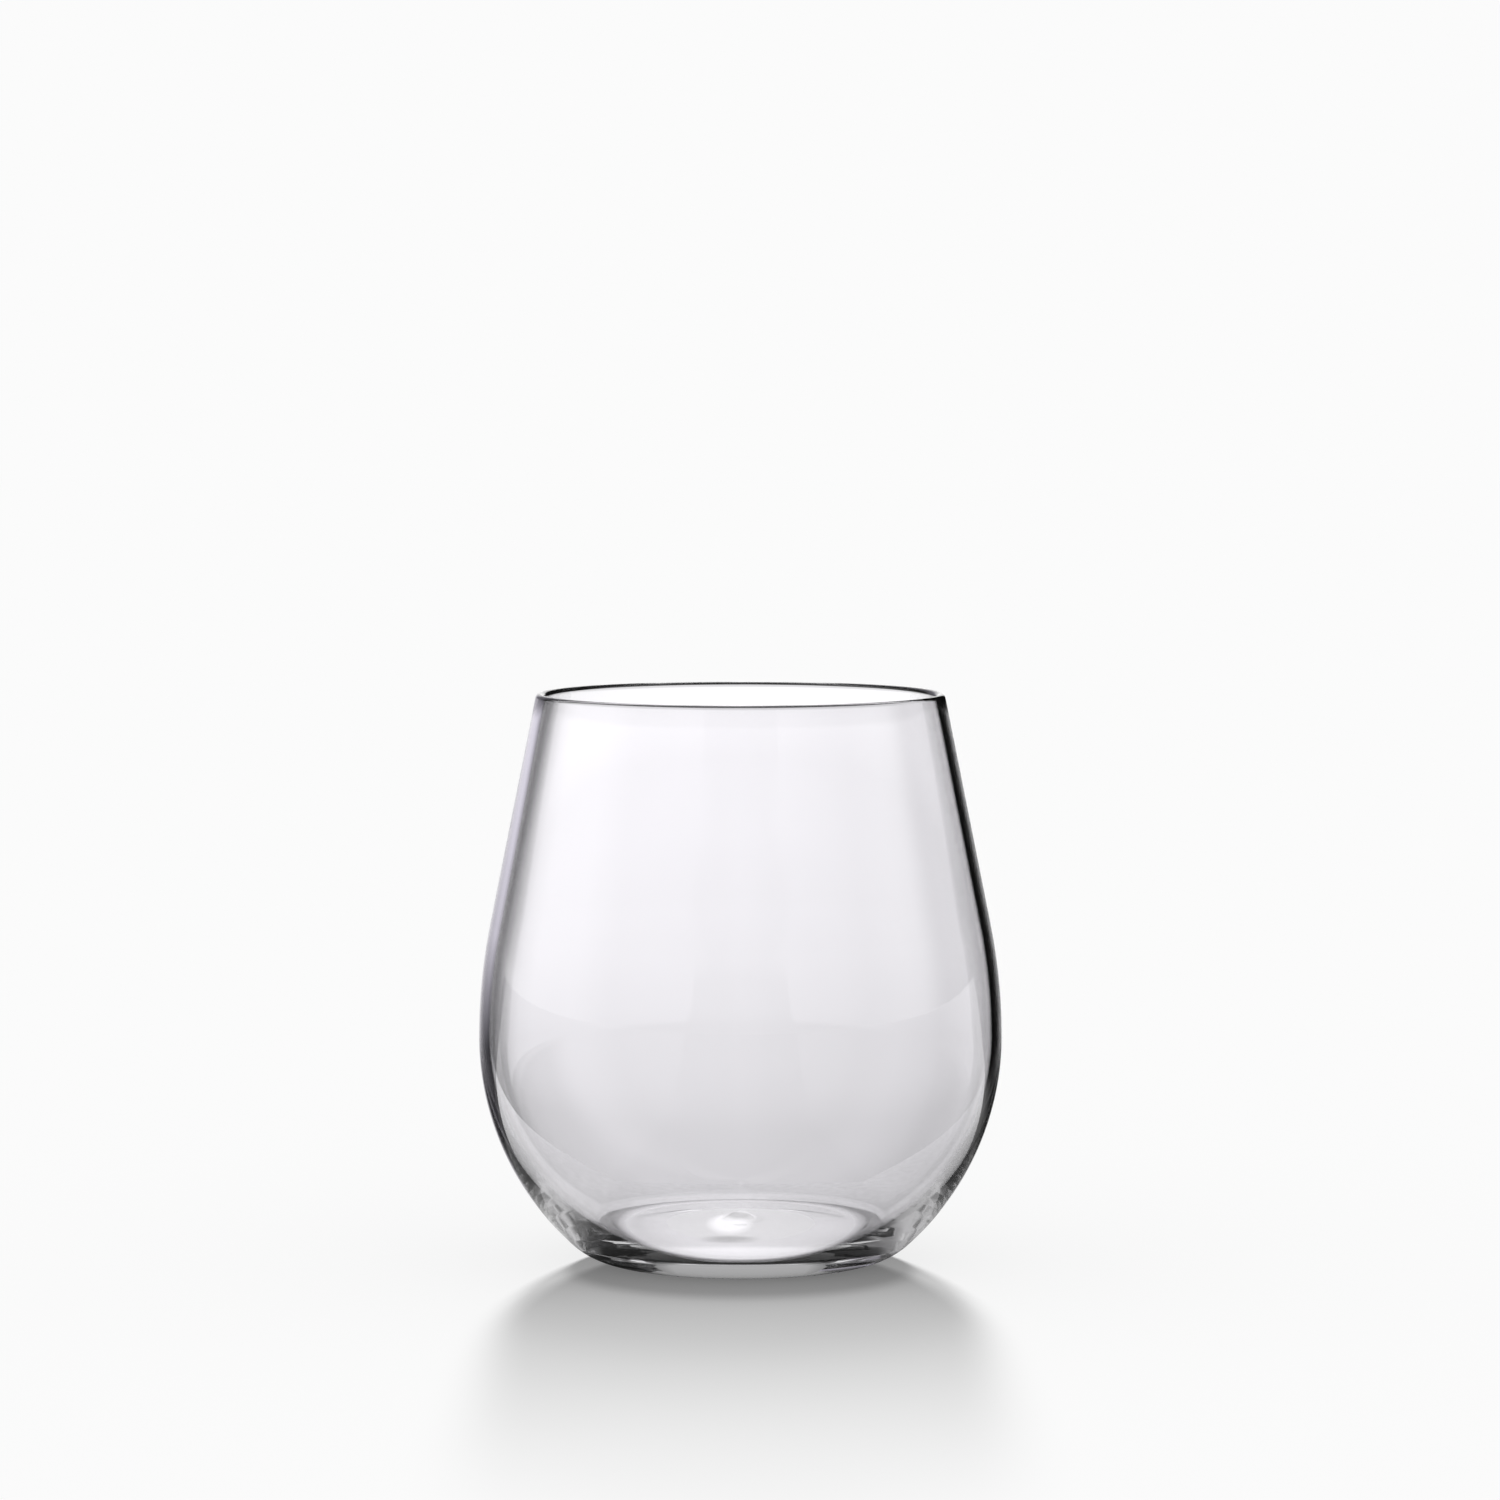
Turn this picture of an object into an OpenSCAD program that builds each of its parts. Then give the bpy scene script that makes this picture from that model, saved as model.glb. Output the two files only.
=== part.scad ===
// Stemless wine glass: a clear bowl that swells to a belly and draws in to the mouth, on a foot that
// stands flat. Sizes are in millimetres. The origin is the middle of the foot, on the table, and +Z
// points up to the mouth.

/* [Outside] */
// Height from the table to the top of the rim
height = 100; // [88:1:115]
// Outer diameter of the belly, the widest place
belly_d = 92; // [86:1:110]
// Height of the belly above the table
belly_z = 39.6; // [34:0.2:46]
// Outer diameter of the mouth
rim_d = 72; // [62:1:80]
// Diameter of the ring that stands on the table
foot_d = 43; // [36:1:50]
// Radius of the heel, where the foot turns up into the side
heel_r = 12.5; // [6:0.5:15]
// Radius of the shoulder, from the belly up to the straight neck
shoulder_r = 100; // [80:1:130]

/* [Wall] */
// Wall at the rim, which is fully rounded
rim_wall = 1.7; // [1.2:0.1:2.6]
// Wall at the belly
belly_wall = 1.8; // [1.2:0.1:3]

/* [Floor] */
// Diameter of the flat floor inside the cup
floor_d = 49; // [42:1:54]
// Height of the floor above the table
floor_z = 4.6; // [3:0.2:6]
// Radius of the inner corner, where the floor turns up into the wall
corner_r = 3.5; // [1:0.5:5]
// Diameter of the mark that moulding leaves in the middle of the floor
mark_d = 9; // [5:0.5:14]
// Height of that mark above the floor
mark_h = 1.6; // [0.4:0.1:2.4]

/* [Underside] */
// Width of the ring that stands on the table
ring_w = 1.5; // [1:0.5:8]
// Depth of the shallow hollow inside that ring
hollow_h = 0.5; // [0.2:0.1:1.2]

/* [Hidden] */
$fn = 360;
glass_tint = [0.90, 0.90, 0.94, 0.45];

// The side below the belly is one arc. It is upright at the belly and runs smoothly into the heel.
belly_r = belly_d / 2;
foot_r = foot_d / 2;
side_r = side_arc(belly_r - foot_r, belly_z, heel_r);
side_mid = [belly_r - side_r, belly_z];
heel_mid = [foot_r, heel_r];
heel_top_z = meet_z(side_mid, side_r, heel_mid);

// The rim is a half-round bead. The neck's two faces are straight, and each touches the bead and
// the shoulder arc on its own side.
bead_r = rim_wall / 2;
bead_mid = [rim_d / 2 - bead_r, height - bead_r];
shoulder_mid = [belly_r - shoulder_r, belly_z];
neck_out = touch_dir(shoulder_mid, bead_mid, shoulder_r - bead_r);
neck_out_low = shoulder_mid + shoulder_r * neck_out;
neck_out_top = bead_mid + bead_r * neck_out;

// The inner face has arcs of the same kind. Its belly is level with the outer one.
cup_r = belly_r - belly_wall;
cup_shoulder_r = shoulder_r - belly_wall;
cup_shoulder_mid = [cup_r - cup_shoulder_r, belly_z];
neck_in = touch_dir(cup_shoulder_mid, bead_mid, cup_shoulder_r + bead_r);
neck_in_low = cup_shoulder_mid + cup_shoulder_r * neck_in;
neck_in_top = bead_mid - bead_r * neck_in;
floor_r = floor_d / 2;
cup_side_r = side_arc(cup_r - floor_r, belly_z - floor_z, corner_r);
cup_side_mid = [cup_r - cup_side_r, belly_z];
corner_mid = [floor_r, floor_z + corner_r];

// The wall stands on the foot at the level where the inner corner ends.
seat_z = meet_z(cup_side_mid, cup_side_r, corner_mid);

mark_arc_r = cap_arc(mark_d / 2, mark_h);
hollow_arc_r = cap_arc(foot_r - ring_w, hollow_h);

// Radius of the side arc that is upright at the belly and touches a corner arc, which itself touches
// a level floor. reach and rise lead from the floor's edge to the belly.
function side_arc(reach, rise, corner) =
    ((rise - corner) ^ 2 / (reach - corner) + reach + corner) / 2;

// Height at which a side arc runs into the corner arc inside it
function meet_z(mid, r, corner_mid) =
    let (across = corner_mid - mid)
    mid.y + r * across.y / norm(across);

// Radius of the arc over a low cap of half width w and height h
function cap_arc(w, h) = (w ^ 2 + h ^ 2) / (2 * h);

// Direction, from the first centre, in which a straight line touches both circles. reach is the
// difference of their radii where both lie on one side of the line, and else their sum.
function touch_dir(from, to, reach) =
    let (across = to - from, turn = atan2(across.y, across.x) - acos(reach / norm(across)))
    [cos(turn), sin(turn)];

// All that lies above a height, right of the axis and past every edge of the glass
module above(z) {
    translate([0, z]) square(height + belly_d);
}

// From the axis out to the right-hand side of a disc, between two heights
module out_to_arc(mid, r, low, high) {
    intersection() {
        union() {
            translate(mid) circle(r = r);
            if (mid.x > 0) square([mid.x, height]);
        }
        difference() {
            above(low);
            above(high);
        }
    }
}

// Half of the glass as if it were solid, from the table to the rim's bead
module outside_half() {
    out_to_arc(heel_mid, heel_r, 0, heel_top_z);
    out_to_arc(side_mid, side_r, heel_top_z, belly_z);
    out_to_arc(shoulder_mid, shoulder_r, belly_z, neck_out_low.y);
    polygon([[0, neck_out_low.y], neck_out_low, neck_out_top, [0, neck_out_top.y]]);
}

// Half of the space inside the glass, from the floor out through the mouth
module cup_half() {
    out_to_arc(corner_mid, corner_r, floor_z, seat_z);
    out_to_arc(cup_side_mid, cup_side_r, seat_z, belly_z);
    out_to_arc(cup_shoulder_mid, cup_shoulder_r, belly_z, neck_in_low.y);
    polygon([[0, neck_in_low.y], neck_in_low, neck_in_top, [0, neck_in_top.y]]);
    translate([0, neck_in_top.y]) square([bead_mid.x, height]);
}

// Half of the clear body between those two
module wall_half() {
    difference() {
        outside_half();
        cup_half();
    }
}

// The wall of the cup: side, belly, shoulder, neck and rounded rim
module bowl() {
    color(glass_tint) rotate_extrude() {
        intersection() {
            wall_half();
            above(seat_z);
        }
        translate(bead_mid) circle(r = bead_r);
    }
}

// The foot: flat floor with its moulding mark and rounded corner, heel, standing ring and hollow
module base() {
    color(glass_tint) rotate_extrude() {
        difference() {
            wall_half();
            above(seat_z);
            out_to_arc([0, hollow_h - hollow_arc_r], hollow_arc_r, 0, belly_z);
        }
        out_to_arc([0, floor_z + mark_h - mark_arc_r], mark_arc_r, floor_z / 2, belly_z);
    }
}

bowl();
base();
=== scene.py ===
# %% [markdown]
# # A clear stemless wine glass
# The real glass is one continuous clear body: a bowl that swells to a belly, draws in to a plain
# rounded rim and stands on a flat foot. Nothing moves and nothing is painted, so the whole look comes
# from three things: the true thickness of the wall, what the glass bends into view, and its shadow.
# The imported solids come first. They fix where everything is, and nothing below moves them.

# %% Load the solids and keep their box
import math

import bpy
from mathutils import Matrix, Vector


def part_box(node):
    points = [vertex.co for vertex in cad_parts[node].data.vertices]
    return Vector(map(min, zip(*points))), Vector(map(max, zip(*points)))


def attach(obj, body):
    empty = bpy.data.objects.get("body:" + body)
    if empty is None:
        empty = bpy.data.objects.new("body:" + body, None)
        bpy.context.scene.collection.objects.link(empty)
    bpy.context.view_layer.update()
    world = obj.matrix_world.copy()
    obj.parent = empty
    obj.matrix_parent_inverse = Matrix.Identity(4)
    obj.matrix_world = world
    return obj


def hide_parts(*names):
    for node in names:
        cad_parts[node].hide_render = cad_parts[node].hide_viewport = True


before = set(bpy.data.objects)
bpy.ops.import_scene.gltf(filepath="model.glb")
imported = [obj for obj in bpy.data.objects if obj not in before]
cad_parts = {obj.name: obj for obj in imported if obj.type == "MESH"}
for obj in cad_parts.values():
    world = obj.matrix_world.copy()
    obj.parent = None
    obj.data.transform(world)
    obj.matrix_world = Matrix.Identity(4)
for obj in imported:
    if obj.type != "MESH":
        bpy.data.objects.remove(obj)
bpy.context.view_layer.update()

# %% [markdown]
# ## Sizes
# Blender works in metres here, and the sizes below are the ones that the solids were drawn with.
# Whatever the solids' boxes can tell is read from them, so that the two can't drift apart. The rest
# is written in millimetres and scaled once.

# %% Driving sizes
MM = 0.001
bowl_low, bowl_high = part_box("bowl")
base_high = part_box("base")[1]
height = bowl_high.z
belly_r = bowl_high.x
seat_z = bowl_low.z
belly_z = 39.6 * MM
rim_r = 36 * MM
foot_r = 21.5 * MM
heel_r = 12.5 * MM
shoulder_r = 100 * MM
rim_wall = 1.7 * MM
belly_wall = 1.8 * MM
floor_r = 24.5 * MM
floor_z = 4.6 * MM
corner_r = 3.5 * MM
mark_h = base_high.z - floor_z
ring_w = 1.5 * MM
hollow_h = 0.5 * MM
print(f"height {height / MM:.1f} mm, belly {2 * belly_r / MM:.1f} mm, seat at {seat_z / MM:.2f} mm")

# %% [markdown]
# ## The outline as arcs
# A glass like this could be sculpted or subdivided from a cage, but refraction shows every wobble.
# So the half outline is made of true arcs and straight lines that touch each other: heel, side and
# shoulder outside, the same kind of arcs inside, and a half-round bead at the rim. Points sit closer
# together at one end of an arc where two pieces will meet, so that their shading agrees there.

# %% Helpers for the outline
OUTWARD = 0
UPWARD = math.pi / 2
DOWNWARD = -math.pi / 2


def arc(mid, r, start, end, count, ease=1.0):
    """Points on an arc. With ease above 1 they crowd towards its start."""
    turns = [start + (end - start) * (k / count) ** ease for k in range(count + 1)]
    return [(mid[0] + r * math.cos(a), mid[1] + r * math.sin(a)) for a in turns]


def line(a, b, count):
    """Evenly spaced points from a to b."""
    across = b[0] - a[0]
    up = b[1] - a[1]
    return [(a[0] + across * k / count, a[1] + up * k / count) for k in range(count + 1)]


def chain(*stretches):
    """Joins stretches that share their end points into one list."""
    points = list(stretches[0])
    for stretch in stretches[1:]:
        points += stretch[1:]
    return points


def side_arc_r(reach, rise, corner):
    """Radius of the side arc that is upright at the belly and touches the corner arc below it."""
    return ((rise - corner) ** 2 / (reach - corner) + reach + corner) / 2


def turn_between(a, b):
    """Direction from a to b, as an angle."""
    return math.atan2(b[1] - a[1], b[0] - a[0])


def touch_turn(a, b, reach):
    """Direction in which a straight line touches two circles with the middles a and b."""
    return turn_between(a, b) - math.acos(reach / math.dist(a, b))


# %% Arcs of the outside
side_r = side_arc_r(belly_r - foot_r, belly_z, heel_r)
side_mid = (belly_r - side_r, belly_z)
heel_mid = (foot_r, heel_r)
heel_turn = turn_between(side_mid, heel_mid)
seat_turn = math.asin((seat_z - belly_z) / side_r)
bead_r = rim_wall / 2
bead_mid = (rim_r - bead_r, height - bead_r)
shoulder_mid = (belly_r - shoulder_r, belly_z)
neck_out_turn = touch_turn(shoulder_mid, bead_mid, shoulder_r - bead_r)
print(f"side radius outside {side_r / MM:.2f} mm")

# %% Arcs of the inside
cup_r = belly_r - belly_wall
cup_shoulder_r = shoulder_r - belly_wall
cup_shoulder_mid = (cup_r - cup_shoulder_r, belly_z)
neck_in_turn = touch_turn(cup_shoulder_mid, bead_mid, cup_shoulder_r + bead_r)
cup_side_r = side_arc_r(cup_r - floor_r, belly_z - floor_z, corner_r)
cup_side_mid = (cup_r - cup_side_r, belly_z)
corner_mid = (floor_r, floor_z + corner_r)
corner_turn = turn_between(cup_side_mid, corner_mid)
print(f"side radius inside {cup_side_r / MM:.2f} mm")

# %% Half outline of the bowl, a closed loop
SIDE_STEPS = 60
SIDE_EASE = 1.5
SHOULDER_STEPS = 16
NECK_STEPS = 12
BEAD_STEPS = 28

outer_side = arc(side_mid, side_r, seat_turn, OUTWARD, SIDE_STEPS, SIDE_EASE)
outer_shoulder = arc(shoulder_mid, shoulder_r, OUTWARD, neck_out_turn, SHOULDER_STEPS)
bead = arc(bead_mid, bead_r, neck_out_turn, neck_in_turn + math.pi, BEAD_STEPS)
inner_shoulder = arc(cup_shoulder_mid, cup_shoulder_r, neck_in_turn, OUTWARD, SHOULDER_STEPS)
inner_side = arc(cup_side_mid, cup_side_r, corner_turn, OUTWARD, SIDE_STEPS, SIDE_EASE)[::-1]
bowl_outline = chain(
    outer_side,
    outer_shoulder,
    line(outer_shoulder[-1], bead[0], NECK_STEPS),
    bead,
    line(bead[-1], inner_shoulder[0], NECK_STEPS),
    inner_shoulder,
    inner_side,
    line(inner_side[-1], outer_side[0], 1),
)
print("bowl outline:", len(bowl_outline), "points")

# %% [markdown]
# The base's outline starts and ends on the axis. The solid's mark is a plain cap on the floor. On the
# real glass it runs softly into the floor, so here it has a round top and a fillet round its foot,
# with the same height. Under the foot is the shallow hollow inside the standing ring.

# %% Arcs of the mark and of the hollow
MARK_TOP_R = 3 * MM
MARK_FILLET = 5 * MM

mark_mid = (0, floor_z + mark_h - MARK_TOP_R)
fillet_rise = floor_z + MARK_FILLET - mark_mid[1]
fillet_mid = (math.sqrt((MARK_TOP_R + MARK_FILLET) ** 2 - fillet_rise**2), floor_z + MARK_FILLET)
mark_turn = turn_between(mark_mid, fillet_mid)
hollow_r = foot_r - ring_w
hollow_arc_r = (hollow_r**2 + hollow_h**2) / (2 * hollow_h)
hollow_mid = (0, hollow_h - hollow_arc_r)
hollow_turn = math.asin(hollow_r / hollow_arc_r)
print(f"mark {2 * fillet_mid[0] / MM:.1f} mm across its foot, hollow radius {hollow_arc_r / MM:.0f} mm")

# %% Half outline of the base, from the axis below to the axis above
HOLLOW_STEPS = 24
RING_STEPS = 4
HEEL_STEPS = 40
LOW_SIDE_STEPS = 10
CORNER_STEPS = 28
CORNER_EASE = 1.8
FLOOR_STEPS = 20
FILLET_STEPS = 10
MARK_STEPS = 20

hollow = arc(hollow_mid, hollow_arc_r, UPWARD, UPWARD - hollow_turn, HOLLOW_STEPS)
heel = arc(heel_mid, heel_r, DOWNWARD, heel_turn, HEEL_STEPS)
low_side = arc(side_mid, side_r, heel_turn, seat_turn, LOW_SIDE_STEPS)
corner = arc(corner_mid, corner_r, corner_turn, DOWNWARD, CORNER_STEPS, CORNER_EASE)
mark_foot = arc(fillet_mid, MARK_FILLET, DOWNWARD, mark_turn - math.pi, FILLET_STEPS)
mark = arc(mark_mid, MARK_TOP_R, mark_turn, UPWARD, MARK_STEPS)
base_outline = chain(
    hollow,
    line(hollow[-1], heel[0], RING_STEPS),
    heel,
    low_side,
    line(low_side[-1], corner[0], 1),
    corner,
    line(corner[-1], mark_foot[0], FLOOR_STEPS),
    mark_foot,
    mark,
)
print("base outline:", len(base_outline), "points")

# %% [markdown]
# ## Spinning the outline
# On the bench such a body is blown or pressed in a round mould, and a lathe is the nearest thing to
# that by hand. A plane is merged to one vertex, which is extruded from point to point along the half
# outline, and Spin turns the chain once round the axis. The doubled seam and the poles are merged
# before the normals are made to point outwards.

# %% The lathe
START_SIZE = 10 * MM
SEGMENTS = 320
SEAM_GAP = 1e-6
SHARP_FROM = math.radians(15)


def lathe(name, outline):
    """A closed round piece from a half outline of (radius, height) points."""
    bpy.ops.object.select_all(action="DESELECT")
    bpy.ops.mesh.primitive_plane_add(size=START_SIZE)
    piece = bpy.context.active_object
    piece.name = piece.data.name = name
    bpy.ops.object.mode_set(mode="EDIT")
    bpy.ops.mesh.select_all(action="SELECT")
    bpy.ops.mesh.merge(type="CENTER")
    bpy.ops.transform.translate(value=(outline[0][0], 0, outline[0][1]))
    for (r_from, z_from), (r_to, z_to) in zip(outline, outline[1:]):
        step = (r_to - r_from, 0, z_to - z_from)
        bpy.ops.mesh.extrude_vertices_move(TRANSFORM_OT_translate={"value": step})
    bpy.ops.mesh.select_all(action="SELECT")
    bpy.ops.mesh.spin(steps=SEGMENTS, angle=2 * math.pi, center=(0, 0, 0), axis=(0, 0, 1))
    bpy.ops.mesh.select_all(action="SELECT")
    bpy.ops.mesh.remove_doubles(threshold=SEAM_GAP)
    bpy.ops.mesh.normals_make_consistent(inside=False)
    bpy.ops.object.mode_set(mode="OBJECT")
    bpy.ops.object.shade_smooth_by_angle(angle=SHARP_FROM)
    open_edges = len(piece.data.edges) * 2 - sum(len(f.vertices) for f in piece.data.polygons)
    print(name, len(piece.data.polygons), "faces, open edges:", open_edges)
    return piece


clear_bowl = lathe("clear_bowl", bowl_outline)
clear_base = lathe("clear_base", base_outline)

# %% [markdown]
# ## Short ways to build a shader
# A material is a tree of nodes, and by hand each one is added, set and joined in the shader editor.
# The same few kinds come back all the time here, so each gets a helper that adds the node, feeds its
# inputs and hands back what comes out. An input can be fed by another node or by a plain number.

# %% Helpers for materials, nodes and numbers
def new_material(name):
    """A node material, with its tree and its main shader."""
    material = bpy.data.materials.new(name)
    material.use_nodes = True
    tree = material.node_tree
    return material, tree, tree.nodes["Principled BSDF"]


def feed(tree, socket, value):
    """Joins an input to another node's output, or sets it. One number for a colour means a grey."""
    if isinstance(value, bpy.types.NodeSocket):
        tree.links.new(value, socket)
    elif socket.type == "RGBA" and not isinstance(value, tuple):
        socket.default_value = (value, value, value, 1)
    else:
        socket.default_value = value


def new_node(tree, kind, inputs=None, **settings):
    """Adds a node, sets it, feeds its inputs by name or number, and returns its outputs."""
    node = tree.nodes.new("ShaderNode" + kind)
    for name, value in settings.items():
        setattr(node, name, value)
    for name, value in (inputs or {}).items():
        feed(tree, node.inputs[name], value)
    return node.outputs


def calc(tree, operation, first, second=0.0):
    """A Math node on two numbers or outputs."""
    return new_node(tree, "Math", {0: first, 1: second}, operation=operation)["Value"]


def noise(tree, place, scale, detail):
    """A cloudy pattern that stays with the place."""
    return new_node(tree, "TexNoise", {"Vector": place, "Scale": scale, "Detail": detail})["Fac"]


# %% Helpers for tones and shaders
def ramp(tree, value, stops):
    """A colour ramp over a value, from its first stop to its last. Stops are (value, colour or grey)."""
    low = stops[0][0]
    high = stops[-1][0]
    along = new_node(tree, "MapRange", {"Value": value, "From Min": low, "From Max": high})["Result"]
    node = tree.nodes.new("ShaderNodeValToRGB")
    elements = node.color_ramp.elements
    # New stops start halfway, and get their places below.
    while len(elements) < len(stops):
        elements.new(0.5)
    for element, (at, tone) in zip(elements, stops):
        element.position = (at - low) / (high - low)
        element.color = (*tone, 1) if isinstance(tone, tuple) else (tone, tone, tone, 1)
    feed(tree, node.inputs["Fac"], along)
    return node.outputs["Color"]


def blend(tree, kind, factor, first, second):
    """A Mix node for colours."""
    inputs = {"Factor": factor, "A": first, "B": second}
    return new_node(tree, "Mix", inputs, data_type="RGBA", blend_type=kind)["Result"]


def either(tree, factor, first, second):
    """A tone between a first and a second one."""
    return blend(tree, "MIX", factor, first, second)


def times(tree, first, second, share=1.0):
    """Multiplies a tone by a second one, as far as the share says."""
    return blend(tree, "MULTIPLY", share, first, second)


def mixed(tree, factor, first, second):
    """A Mix Shader between two shaders."""
    return new_node(tree, "MixShader", {"Fac": factor, 1: first, 2: second})["Shader"]


# %% [markdown]
# ## Clear glass
# Polished glass is a refracting surface with an index near 1.5 and almost no colour: the photograph
# shows a faint lilac cast. A perfect surface looks like a calculation, so three small things are
# added: a very weak waviness, as a mould leaves it, a polish that is a little less perfect in places,
# and a cast that is not quite even. They all read Object coordinates, so they stay with the glass.

# %% Polish and waves
POLISH_SCALE = 45.0
POLISH_DETAIL = 3.0
DULL_FROM = 0.45
DULL_TO = 0.8
DULLEST = 0.02
WAVE_SCALE = 40.0
WAVE_DETAIL = 1.0
WAVE_STRENGTH = 0.15
WAVE_HEIGHT = 0.05 * MM


def polish_and_waves(tree, shader, place):
    """Makes the surface a little dull in places and very weakly wavy."""
    patches = noise(tree, place, POLISH_SCALE, POLISH_DETAIL)
    dull_range = {"Value": patches, "From Min": DULL_FROM, "From Max": DULL_TO, "To Max": DULLEST}
    feed(tree, shader.inputs["Roughness"], new_node(tree, "MapRange", dull_range)["Result"])
    waves = noise(tree, place, WAVE_SCALE, WAVE_DETAIL)
    bump = {"Height": waves, "Strength": WAVE_STRENGTH, "Distance": WAVE_HEIGHT}
    feed(tree, shader.inputs["Normal"], new_node(tree, "Bump", bump)["Normal"])


print("roughness up to", DULLEST, "and waves of", WAVE_HEIGHT / MM, "mm")

# %% [markdown]
# The shadow needs care. Real glass bends light away, so its shadow is dark by the thick foot and fades
# towards the rim, where the wall is thin and nearly upright. A renderer would need thousands of
# samples to find that, or would block the light altogether. So a shadow ray meets plain tinted film
# instead of glass. How much a wall lets through goes by its height, and since a ray crosses two faces
# of a wall, each face gets the square root of it. Far out at the sides the film turns clear, because
# the photograph's shadow is narrower than the belly.

# %% What a lamp meets
WALL_LETS_THROUGH = [
    (0, 0.2), (2.5, 0.2), (4.5, 0.52), (6, 0.58), (14, 0.64),
    (22, 0.75), (31, 0.83), (40, 0.88), (57, 0.96), (66, 1.0),
]
SIDES_LET_THROUGH = [(0, 0.0), (36, 0.0), (44, 1.0)]


def shadow_film(tree, place):
    """The film's tint, over the height and the distance to the side in millimetres."""
    axes = new_node(tree, "SeparateXYZ", {"Vector": place})
    up_mm = calc(tree, "DIVIDE", axes["Z"], MM)
    aside_mm = calc(tree, "DIVIDE", calc(tree, "ABSOLUTE", axes["X"]), MM)
    each_face = [(z, math.sqrt(share)) for z, share in WALL_LETS_THROUGH]
    return either(tree, ramp(tree, aside_mm, SIDES_LET_THROUGH), ramp(tree, up_mm, each_face), 1.0)


def lamps_pass(tree, shader, film=1.0):
    """Lets lamps shine through: shadow rays meet the film, and all other rays the shader."""
    opening = new_node(tree, "BsdfTransparent", {"Color": film})["BSDF"]
    for_lamps = new_node(tree, "LightPath")["Is Shadow Ray"]
    surface = mixed(tree, for_lamps, shader.outputs["BSDF"], opening)
    feed(tree, tree.nodes["Material Output"].inputs["Surface"], surface)


print("lamps shine through in full from", WALL_LETS_THROUGH[-1][0], "mm up")

# %% The glass finish
GLASS_INDEX = 1.5
CAST_SCALE = 18.0
CAST_DETAIL = 2.0
CAST = [(0, (0.980, 0.971, 0.994)), (1, (0.990, 0.982, 1.0))]


def clear_glass():
    """Polished glass with a faint lilac cast."""
    material, tree, shader = new_material("clear_glass")
    shader.inputs["Transmission Weight"].default_value = 1.0
    shader.inputs["IOR"].default_value = GLASS_INDEX
    place = new_node(tree, "TexCoord")["Object"]
    cast = ramp(tree, noise(tree, place, CAST_SCALE, CAST_DETAIL), CAST)
    feed(tree, shader.inputs["Base Color"], cast)
    polish_and_waves(tree, shader, place)
    lamps_pass(tree, shader, shadow_film(tree, place))
    return material


glass = clear_glass()
print("finish:", glass.name)

# %% [markdown]
# ## One body to the eye
# On the real glass there is no joint, so the flat rings where the two pieces meet must not show.
# They get a finish of their own with an index of 1, which lets every ray pass straight on. The
# underside below the mark gets it too. There the foot all but touches the table, and rays that the
# mark catches would run about inside it until they are lost, as a black dot in the middle.

# %% The finish for hidden faces
def clear_joint():
    """A clear finish that light crosses without bending."""
    material, tree, shader = new_material("clear_joint")
    shader.inputs["Base Color"].default_value = (1, 1, 1, 1)
    shader.inputs["Transmission Weight"].default_value = 1.0
    shader.inputs["IOR"].default_value = 1.0
    shader.inputs["Roughness"].default_value = 0.0
    lamps_pass(tree, shader)
    return material


joint = clear_joint()
print("finish:", joint.name)

# %% Give the pieces their finishes
SEAT_GAP = 10 * SEAM_GAP
LEVEL = 0.99
FACING_DOWN = -0.9
UNDER_MARK_R = 13 * MM


def select_hidden_faces(piece):
    """Selects the level faces where bowl and base meet, and the underside below the mark."""
    for face in piece.data.polygons:
        at_seat = abs(face.center.z - seat_z) < SEAT_GAP and abs(face.normal.z) > LEVEL
        under = face.normal.z < FACING_DOWN and face.center.xy.length < UNDER_MARK_R
        face.select = at_seat or under
    return sum(face.select for face in piece.data.polygons)


for piece in (clear_bowl, clear_base):
    bpy.ops.object.select_all(action="DESELECT")
    piece.select_set(True)
    bpy.context.view_layer.objects.active = piece
    piece.data.materials.append(glass)
    piece.data.materials.append(joint)
    bpy.ops.object.mode_set(mode="EDIT")
    bpy.ops.mesh.select_all(action="DESELECT")
    bpy.ops.object.mode_set(mode="OBJECT")
    found = select_hidden_faces(piece)
    bpy.ops.object.mode_set(mode="EDIT")
    piece.active_material_index = piece.data.materials.find(joint.name)
    bpy.ops.object.material_slot_assign()
    bpy.ops.object.mode_set(mode="OBJECT")
    print(piece.name, "joint faces:", found)

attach(clear_bowl, "root")
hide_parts("bowl")
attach(clear_base, "root")
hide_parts("base")

# %% [markdown]
# ## The table
# The table is a pale matt floor, and the camera sees it lit, with the shadow on it. One plane is
# enough, a hair below the foot, so that the two faces never fight for the same place.

# %% The floor
FLOOR_SIZE = 12
FLOOR_GAP = 0.1 * MM

bpy.ops.object.select_all(action="DESELECT")
bpy.ops.mesh.primitive_plane_add(size=FLOOR_SIZE, location=(0, 0, -FLOOR_GAP))
bpy.ops.object.transform_apply(location=True, rotation=False, scale=True)
floor = bpy.context.active_object
floor.name = floor.data.name = "floor"
print("floor of", floor.dimensions.x, "m")

# %% [markdown]
# Through glass the table looks different, so its finish asks how a ray has come. A bent ray went
# through glass, and a mirrored one only bounced off its outside. A bent ray that crossed just one
# wall or the heel has a low transmission depth, which tells the edges and the heel from the wide view
# through the cup. Places are in millimetres from the axis, and the camera stands in front.

# %% Where a ray lands on the table, and how it has come
EDGE_DEPTH = 2.5

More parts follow.
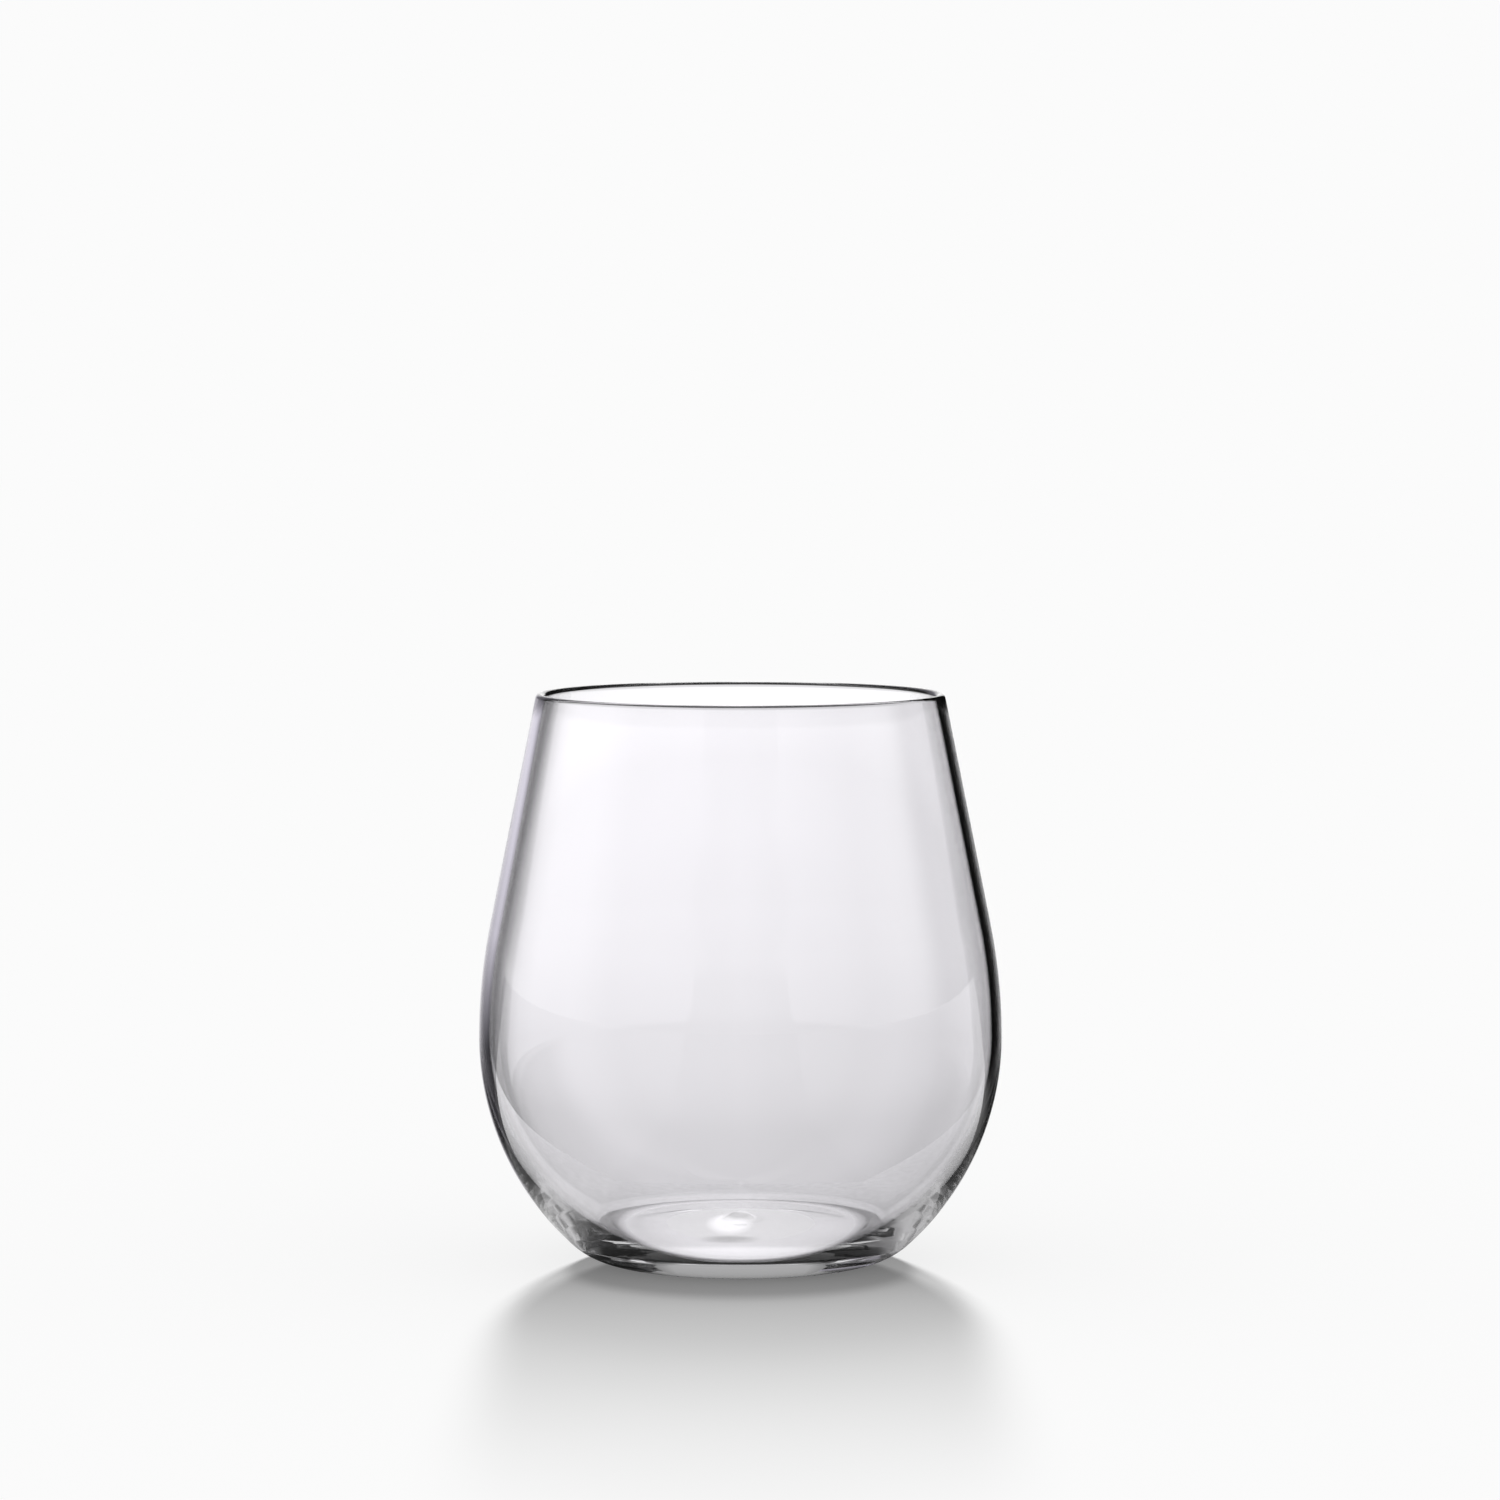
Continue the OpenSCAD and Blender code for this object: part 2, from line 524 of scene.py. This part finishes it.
paper, table, plain_shader = new_material("pale_table")
table.nodes.remove(plain_shader)
where = new_node(table, "NewGeometry")["Position"]
axes = new_node(table, "SeparateXYZ", {"Vector": where})
side_mm = calc(table, "DIVIDE", axes["X"], MM)
aside_mm = calc(table, "ABSOLUTE", side_mm)
back_mm = calc(table, "DIVIDE", axes["Y"], MM)
ray = new_node(table, "LightPath")
bent = ray["Is Transmission Ray"]
unbent = calc(table, "SUBTRACT", 1.0, bent)
mirrored = calc(table, "MULTIPLY", ray["Is Glossy Ray"], unbent)
by_heel = calc(table, "LESS_THAN", ray["Transmission Depth"], EDGE_DEPTH)


def far_from(spot, squash=(1, 1, 1)):
    """Distance on the table from a spot in millimetres, shorter along an axis that is squashed."""
    to_mm = tuple(share / MM for share in squash)
    away = new_node(table, "VectorMath", {0: where, 1: spot}, operation="SUBTRACT")["Vector"]
    squashed = new_node(table, "VectorMath", {0: away, 1: to_mm}, operation="MULTIPLY")["Vector"]
    return new_node(table, "VectorMath", {0: squashed}, operation="LENGTH")["Value"]


def within(turn, to_front=False):
    """Whether a place lies less than a turn from straight behind, or from straight in front."""
    slope = -math.tan(turn) if to_front else math.tan(turn)
    return calc(table, "LESS_THAN", aside_mm, calc(table, "MULTIPLY", back_mm, slope))


far_mm = far_from((0, 0, 0))
print(paper.name, "has", len(table.nodes), "nodes that place a ray")

# %% [markdown]
# Seen through the cup, the table is a shade greyer near the glass, a little darker right of the axis,
# and has a fine grain. Far in front it is dark, as the glass would show a dim room there. Close in front
# of the foot, and near the foot for rays that crossed only the heel or one wall, it is nearly black:
# this is painted shade of the gap under the heel, and it gives the heel's black line. In the lower side,
# which mirrors it, the table is nearly black close to the foot as painted shade, pale a little further
# out, dim far off and darker on the right.

# %% Tones of the matt table
PAPER_WHITE = 0.965
GRAIN_SCALE = 600.0
GRAIN_DETAIL = 2.0
GRAIN = [(0.3, 0.88), (0.7, 1.0)]
TABLE_BY_FAR = [(0, 0.83), (60, 0.83), (130, 0.94)]
TABLE_BY_SIDE = [(-40, 1.0), (0, 0.95), (40, 0.88), (90, 1.0)]
FAR_FRONT = 0.46
FAR_FRONT_BY_BACK = [(-150, 1.0), (-90, 0.0)]
FAR_FRONT_TURN = math.radians(25)
# Painted shade: the table close in front of the foot, and near it through the heel, is nearly black.
NEAR_FRONT_PAINTED_SHADE = 0.04
NEAR_FRONT_SHADE_BY_BACK = [(-10, 1.0), (-3, 0.0)]
NEAR_FRONT_SHADE_BY_FAR = [(0, 1.0), (31, 1.0), (34, 0.0)]
HEEL_PAINTED_SHADE_BY_FAR = [(0, 0.05), (28, 0.05), (45, 1.0)]
# Painted tones for the mirrored table: nearly black close to the foot as painted shade, darker on the
# right.
MIRRORED_PAINTED_TONE_BY_FAR = [(0, 0.03), (27, 0.05), (36, 0.7), (44, 0.7), (58, 0.2), (90, 0.15)]
MIRRORED_BY_SIDE = [(-20, 1.0), (20, 0.6)]

grain = ramp(table, noise(table, where, GRAIN_SCALE, GRAIN_DETAIL), GRAIN)
in_front = within(FAR_FRONT_TURN, to_front=True)
far_front = calc(table, "MULTIPLY", ramp(table, back_mm, FAR_FRONT_BY_BACK), in_front)
# Painted shade close in front of the foot.
near_foot_shade_mask = ramp(table, far_mm, NEAR_FRONT_SHADE_BY_FAR)
near_front_shade = calc(table, "MULTIPLY", ramp(table, back_mm, NEAR_FRONT_SHADE_BY_BACK), near_foot_shade_mask)
bent_tone = times(table, ramp(table, far_mm, TABLE_BY_FAR), grain)
bent_tone = times(table, bent_tone, ramp(table, side_mm, TABLE_BY_SIDE))
bent_tone = times(table, bent_tone, FAR_FRONT, far_front)
bent_tone = times(table, bent_tone, NEAR_FRONT_PAINTED_SHADE, near_front_shade)
# Painted shade near the foot for rays that crossed only the heel or one wall.
bent_tone = times(table, bent_tone, ramp(table, far_mm, HEEL_PAINTED_SHADE_BY_FAR), by_heel)
# Painted reflection tone of the table, with painted shade close to the foot.
mirrored_painted_tone = ramp(table, far_mm, MIRRORED_PAINTED_TONE_BY_FAR)
mirrored_painted_tone = times(table, mirrored_painted_tone, ramp(table, side_mm, MIRRORED_BY_SIDE))
plain_or_bent = either(table, bent, PAPER_WHITE, bent_tone)
matt_tone = either(table, mirrored, plain_or_bent, mirrored_painted_tone)
matt = new_node(table, "BsdfDiffuse", {"Color": matt_tone})["BSDF"]
print("plain table", PAPER_WHITE, "and", len(table.nodes), "nodes with its bent and mirrored tones")

# %% [markdown]
# Light that comes down through a clear cup brightens the table under the foot, more so towards the
# front. Those paths are too hard to find, so bent rays meet a soft glow there, with a spot of light
# and a small shadow for the mark. Straight behind, the table ends close to the glass, and bent and
# mirrored rays pass on to the backdrop.

# %% Glow under the foot
GLOW = 1.25
GLOW_BY_BACK = [(-20, 1.0), (-17, 0.98), (-15, 0.7), (4, 0.59)]
GLOW_BY_FAR = [(0, 1.0), (21, 1.0), (23, 0.0)]
MARK_LIGHT_AT = (-2 * MM, -0.5 * MM, 0)
MARK_LIGHT_WIDER = (1, 0.5, 1)
MARK_LIGHT = [(0, 0.85), (2.5, 0.85), (4.5, 0.0)]
MARK_SHADOW_AT = (-2 * MM, -11.5 * MM, 0)
MARK_SHADOW_WIDER = (0.42, 1, 1)
MARK_SHADOW = [(0, 0.55), (1.0, 0.6), (2.5, 1.0)]
# Painted shade: seen through the heel, the glow gives way to a dim grey that is darker towards the
# sides.
HEEL_GLOW_SHADE_BY_SIDE = [(0, 0.35), (9, 0.35), (13, 0.12)]

mark_light = ramp(table, far_from(MARK_LIGHT_AT, MARK_LIGHT_WIDER), MARK_LIGHT)
mark_shadow = ramp(table, far_from(MARK_SHADOW_AT, MARK_SHADOW_WIDER), MARK_SHADOW)
glow_tone = either(table, mark_light, ramp(table, back_mm, GLOW_BY_BACK), 1.0)
glow_tone = times(table, glow_tone, mark_shadow)
# Painted shade in the glow for rays that crossed only the heel or one wall.
glow_tone = either(table, by_heel, glow_tone, ramp(table, aside_mm, HEEL_GLOW_SHADE_BY_SIDE))
glow = new_node(table, "Emission", {"Color": glow_tone, "Strength": GLOW})["Emission"]
glowing = calc(table, "MULTIPLY", ramp(table, far_mm, GLOW_BY_FAR), bent)
lit = mixed(table, glowing, matt, glow)
print("glow of", GLOW, "within", GLOW_BY_FAR[-1][0], "mm of the axis")

# %% The open end behind
TABLE_EDGE = 47
TABLE_WIDER = (0.75, 1, 1)
OPEN_TURN = math.radians(30)
OPEN_EDGE_TURN = math.radians(50)

past_edge = calc(table, "GREATER_THAN", far_from((0, 0, 0), TABLE_WIDER), TABLE_EDGE)
behind = either(table, by_heel, within(OPEN_TURN), within(OPEN_EDGE_TURN))
past_behind = calc(table, "MULTIPLY", past_edge, behind)
open_there = calc(table, "MULTIPLY", past_behind, calc(table, "ADD", bent, mirrored))
opening = new_node(table, "BsdfTransparent")["BSDF"]
table_top = mixed(table, open_there, lit, opening)
feed(table, table.nodes["Material Output"].inputs["Surface"], table_top)
floor.data.materials.append(paper)
print("for rays from the glass the table ends", TABLE_EDGE, "mm behind the axis")

# %% [markdown]
# ## The studio round the glass
# Clear glass has no look of its own: it shows what stands round it. The camera sees plain white, and
# matt surfaces get plain even light. Rays that the glass bends meet a studio instead, with a backdrop
# that darkens downwards. A picture of a room could be wrapped round the scene, but tones written over
# the direction are easier to fit. Turns are in degrees to the right of straight behind, rises in
# degrees from level. The world's light isn't sampled ahead, because it depends on how a ray has come.

# %% Directions in the studio
world = bpy.data.worlds.new("studio")
bpy.context.scene.world = world
world.use_nodes = True
world.cycles.sampling_method = "NONE"
studio = world.node_tree
studio.nodes.clear()
axes = new_node(studio, "SeparateXYZ", {"Vector": new_node(studio, "TexCoord")["Generated"]})
turn = calc(studio, "ARCTAN2", axes["X"], axes["Y"])
rise = calc(studio, "ARCSINE", axes["Z"])
turn_deg = calc(studio, "MULTIPLY", turn, math.degrees(1))
rise_deg = calc(studio, "MULTIPLY", rise, math.degrees(1))


def by_turn(stops):
    """A tone over the turn of a direction."""
    return ramp(studio, turn_deg, stops)


def by_rise(stops):
    """A tone over the rise of a direction."""
    return ramp(studio, rise_deg, stops)


print("world:", world.name)

# %% [markdown]
# The edges of the glass look further aside than the cup does, past a black card on the right and a
# dim lilac side on the left, so they have tones of their own. Low on the right they catch a little of
# the pale table.

# %% Backdrop and edges
BACKDROP_BY_TURN = [
    (-90, 0.62), (-45, 0.60), (-30, 0.45), (-21, 0.36), (-19.5, 0.08), (-13, 0.06),
    (-11.5, 0.42), (-9.4, 0.60), (-7.1, 0.77), (0, 0.79), (5, 0.62), (8, 0.69),
    (20, 0.78), (22, 0.02), (75, 0.02), (90, 0.62),
]
BACKDROP_BY_RISE = [
    (-90, 0.5), (-24, 0.6), (-11.5, 0.66), (-9, 0.74), (-6.9, 0.775),
    (-5.3, 0.9), (-3.8, 0.915), (-3.5, 1.0), (90, 1.0),
]
EDGE_BY_TURN = [
    (-90, 0.62), (-50, 0.60), (-46, 0.12), (-33, 0.12), (-30, (0.45, 0.434, 0.486)),
    (-27, (0.58, 0.56, 0.63)), (-14, (0.60, 0.58, 0.645)), (-5, 0.72), (0, 0.85), (8, 0.80),
    (10, 0.30), (11, 0.003), (75, 0.003), (90, 0.62),
]
LOW_RIGHT_BY_RISE = [(-90, 0.25), (-19, 0.25), (-12, 0.0), (90, 0.0)]
LOW_RIGHT_BY_TURN = [(-180, 0.0), (8, 0.0), (11, 1.0), (75, 1.0), (90, 0.0), (180, 0.0)]

ray = new_node(studio, "LightPath")
at_edge = calc(studio, "LESS_THAN", ray["Transmission Depth"], EDGE_DEPTH)
low_right = times(studio, by_rise(LOW_RIGHT_BY_RISE), by_turn(LOW_RIGHT_BY_TURN))
edge_tone = either(studio, low_right, by_turn(EDGE_BY_TURN), 1.0)
tone = either(studio, at_edge, by_turn(BACKDROP_BY_TURN), edge_tone)
tone = times(studio, tone, by_rise(BACKDROP_BY_RISE))
print("tones by turn:", len(BACKDROP_BY_TURN), "for the backdrop,", len(EDGE_BY_TURN), "for the edges")

# %% [markdown]
# The left side is brightest near level, and the room in front, behind the camera, is dim. A dark gap
# under the backdrop draws the thin black lines of the rim, and away from it steep rays meet the pale
# tone of the table. A wall also guides light along inside itself, as a light pipe does, and rays that
# went far that way come out dim.

# %% Sides, gap and guided light
LEFT_BY_RISE = [
    (-90, 0.1), (-8, 0.08), (-6.7, 0.13), (-2, 0.62), (-0.5, 0.9),
    (0.5, 0.9), (2.3, 0.5), (3.5, 0.4), (90, 0.4),
]
LEFT_BY_TURN = [(-180, 0.0), (-75, 0.0), (-50, 1.0), (-15, 1.0), (-12, 0.35), (-6, 0.0), (180, 0.0)]
FRONT_BY_TURN = [(-180, 0.35), (-120, 0.4), (-100, 1.0), (100, 1.0), (120, 0.4), (180, 0.35)]
STEEP_TONE = 0.53
STEEP_BY_RISE = [(-90, 1.0), (-19, 1.0), (-17, 0.0), (90, 0.0)]
STEEP_BY_TURN = [(-180, 1.0), (-38, 1.0), (-30, 0.0), (70, 0.0), (80, 1.0), (180, 1.0)]
GAP_TONE = 0.005
GAP_BY_RISE = [(-90, 1.0), (-25, 1.0), (-22, 0.0), (90, 0.0)]
GAP_BY_TURN = [(-180, 0.0), (-26, 0.0), (-19, 1.0), (70, 1.0), (80, 0.0), (180, 0.0)]
GUIDED_BY_DEPTH = [(9, 1.0), (15, 0.55), (32, 0.55), (40, 0.03)]

tone = times(studio, tone, by_rise(LEFT_BY_RISE), by_turn(LEFT_BY_TURN))
tone = times(studio, tone, by_turn(FRONT_BY_TURN))
steep = times(studio, by_rise(STEEP_BY_RISE), by_turn(STEEP_BY_TURN))
gap = times(studio, by_rise(GAP_BY_RISE), by_turn(GAP_BY_TURN))
tone = either(studio, steep, tone, STEEP_TONE)
tone = either(studio, gap, tone, GAP_TONE)
tone = times(studio, tone, ramp(studio, ray["Ray Depth"], GUIDED_BY_DEPTH))
print("guided light is dimmed after", GUIDED_BY_DEPTH[0][0], "bounces")

# %% [markdown]
# Last, each kind of ray gets its surroundings: the camera sees white, matt surfaces get weak even
# light, and what comes through the glass or off it meets the fitted tones.

# %% Who sees what
AMBIENT = 0.15
STUDIO = 1.46


def surroundings(strength, tone=1.0):
    """Light of a strength and a tone from all round."""
    return new_node(studio, "Background", {"Color": tone, "Strength": strength})["Background"]


fitted = surroundings(STUDIO, tone)
fitted_or_even = mixed(studio, ray["Is Diffuse Ray"], fitted, surroundings(AMBIENT))
seen = mixed(studio, ray["Is Camera Ray"], fitted_or_even, surroundings(PAPER_WHITE))
new_node(studio, "OutputWorld", {"Surface": seen})
print("studio strength", STUDIO, "even light", AMBIENT)

# %% [markdown]
# ## The lamp
# The shadow falls straight towards the camera, is darkest at the foot and fades out within one glass
# height. A single lamp behind the glass does this. It stands low, because the shadow is long, and its
# small width sets how soft the shadow's sides are. Its strength is worked out so that lamp and even
# light together make the white table white. The glass itself doesn't show the lamp.

# %% The lamp behind
LAMP_RISE = math.radians(17)
LAMP_WIDTH = math.radians(4.5)

bpy.ops.object.light_add(type="SUN", rotation=(LAMP_RISE - math.pi / 2, 0, 0))
lamp = bpy.context.active_object
lamp.name = lamp.data.name = "lamp_behind"
lamp.data.angle = LAMP_WIDTH
lamp.data.energy = math.pi * (1 - AMBIENT) / math.sin(LAMP_RISE)
lamp.visible_transmission = False
lamp.visible_glossy = False
print(f"lamp strength {lamp.data.energy:.2f}")

# %% [markdown]
# ## The camera
# The photograph looks down by only a few degrees, from about arm's length, so the mouth shows as a
# thin ellipse. Distance, height and lens were fitted together to the outline. The glass stands a
# little left of the middle, which a small turn of the camera gives.

# %% The camera
FRAME_PX = 1500
AXIS_PX = 740.5
FOCAL_PX = 5712
SENSOR = 36
CAMERA_FAR = 1000 * MM
CAMERA_HIGH = 160 * MM
LOOK_DOWN = math.radians(4.005)

bpy.ops.object.camera_add(
    location=(0, -CAMERA_FAR, CAMERA_HIGH),
    rotation=(math.pi / 2 - LOOK_DOWN, 0, -math.atan((FRAME_PX / 2 - AXIS_PX) / FOCAL_PX)),
)
camera = bpy.context.active_object
camera.data.sensor_width = SENSOR
camera.data.lens = FOCAL_PX * SENSOR / FRAME_PX
bpy.context.scene.camera = camera
print(f"lens {camera.data.lens:.1f} mm")

# %% [markdown]
# ## Last settings
# The Standard view keeps colours as they are written. Light crosses many surfaces in a clear body,
# and where it runs along inside the wall it bounces dozens of times before it gets out, so the bounces
# are raised a lot. Light is not traced through the glass onto the table, because the table's own tones
# already hold it.

# %% View, bounces and sizes
scene = bpy.context.scene
scene.view_settings.view_transform = "Standard"
scene.cycles.max_bounces = 128
scene.cycles.transmission_bounces = 64
scene.cycles.glossy_bounces = 100
scene.cycles.transparent_max_bounces = 32
scene.cycles.caustics_refractive = False
scene.cycles.caustics_reflective = False
